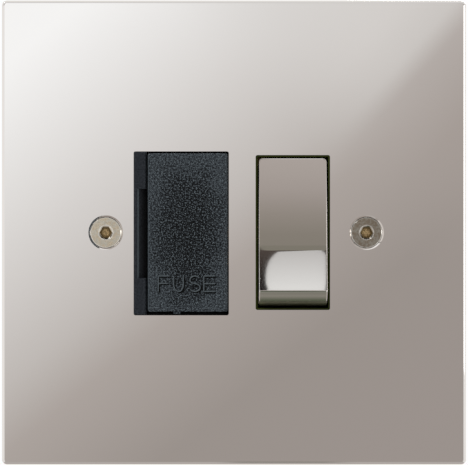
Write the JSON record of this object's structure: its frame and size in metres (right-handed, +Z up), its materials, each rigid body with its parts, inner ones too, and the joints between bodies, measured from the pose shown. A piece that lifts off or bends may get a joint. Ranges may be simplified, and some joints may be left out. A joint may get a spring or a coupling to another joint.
{
  "type": "fused spur unit",
  "caption": "Flush wall fused connection unit: square polished metal plate with a black pull-out fuse carrier, a polished rocker switch and countersunk fixing screws.",
  "frame": {"origin": "centre of the plate's rear rim, on the wall's face", "axes": "+X right, +Z up, +Y into the wall, so the front faces -Y"},
  "size_m": [0.1074, 0.0305, 0.1074],
  "materials": {
    "polished_nickel": "polished",
    "nickel_screw": "polished, warm",
    "black_plastic": "smooth",
    "grained_plastic": "fine grain",
    "base_plastic": "moulded",
    "plunger_plastic": "moulded",
    "ceramic": "unglazed",
    "plated_cap": "plated",
    "strip_brass": "rolled strip",
    "terminal_brass": "machined",
    "contact_copper": "rolled strip",
    "silver": "dull",
    "spring_steel": "drawn wire",
    "zinc_steel": "zinc plated"
  },
  "bodies": {
    "housing": {"base_screw_1": "zinc_steel", "base_screw_2": "zinc_steel", "base_screw_3": "zinc_steel", "base_screw_4": "zinc_steel", "earth_load_block": "terminal_brass", "earth_load_screw": "zinc_steel", "earth_strap_bottom": "strip_brass", "earth_strap_top": "strip_brass", "earth_supply_block": "terminal_brass", "earth_supply_screw": "zinc_steel", "faceplate": "polished_nickel", "fixed_tip_line": "silver", "fixed_tip_neutral": "silver", "fixing_screw_left": "nickel_screw", "fixing_screw_right": "nickel_screw", "front_moulding": "black_plastic", "fulcrum_line": "strip_brass", "fulcrum_neutral": "strip_brass", "fuse_clip_bottom": "strip_brass", "fuse_clip_top": "strip_brass", "line_load_block": "terminal_brass", "line_load_screw": "zinc_steel", "line_supply_block": "terminal_brass", "line_supply_screw": "zinc_steel", "neutral_busbar": "strip_brass", "neutral_load_block": "terminal_brass", "neutral_load_screw": "zinc_steel", "neutral_supply_block": "terminal_brass", "neutral_supply_screw": "zinc_steel", "plate_screw_1": "zinc_steel", "plate_screw_2": "zinc_steel", "plate_screw_3": "zinc_steel", "plate_screw_4": "zinc_steel", "rear_base": "base_plastic", "supply_contact_line": "strip_brass", "supply_contact_neutral": "strip_brass"},
    "rocker": {"rocker_cap": "polished_nickel", "rocker_body": "black_plastic", "plunger_line": "plunger_plastic", "plunger_neutral": "plunger_plastic", "plunger_spring_line": "spring_steel", "plunger_spring_neutral": "spring_steel"},
    "line_contact": {"moving_contact_line": "contact_copper", "moving_tip_line": "silver"},
    "neutral_contact": {"moving_contact_neutral": "contact_copper", "moving_tip_neutral": "silver"},
    "fuse_drawer": {"fuse_carrier": "grained_plastic", "fuse_body": "ceramic", "fuse_cap_top": "plated_cap", "fuse_cap_bottom": "plated_cap"}
  },
  "joints": [
    {"name": "rocker_tilt", "type": "hinge", "parent": "housing", "child": "rocker", "pos_m": [0.0136, 0.0015, 0], "axis": [1, 0, 0], "range_deg": [0, 12]},
    {"name": "line_contact_tilt", "type": "hinge", "parent": "housing", "child": "line_contact", "pos_m": [0.01, 0.01295, 0], "axis": [1, 0, 0], "range_deg": [-15, 0]},
    {"name": "neutral_contact_tilt", "type": "hinge", "parent": "housing", "child": "neutral_contact", "pos_m": [0.0172, 0.01295, 0], "axis": [1, 0, 0], "range_deg": [-15, 0]},
    {"name": "fuse_slide", "type": "slide", "parent": "housing", "child": "fuse_drawer", "axis": [0, -1, 0], "range_m": [0, 0.0105]}
  ],
  "couplings": [
    {"joint": "line_contact_tilt", "follows": "rocker_tilt", "ratio": -1.25},
    {"joint": "neutral_contact_tilt", "follows": "rocker_tilt", "ratio": -1.25}
  ]
}
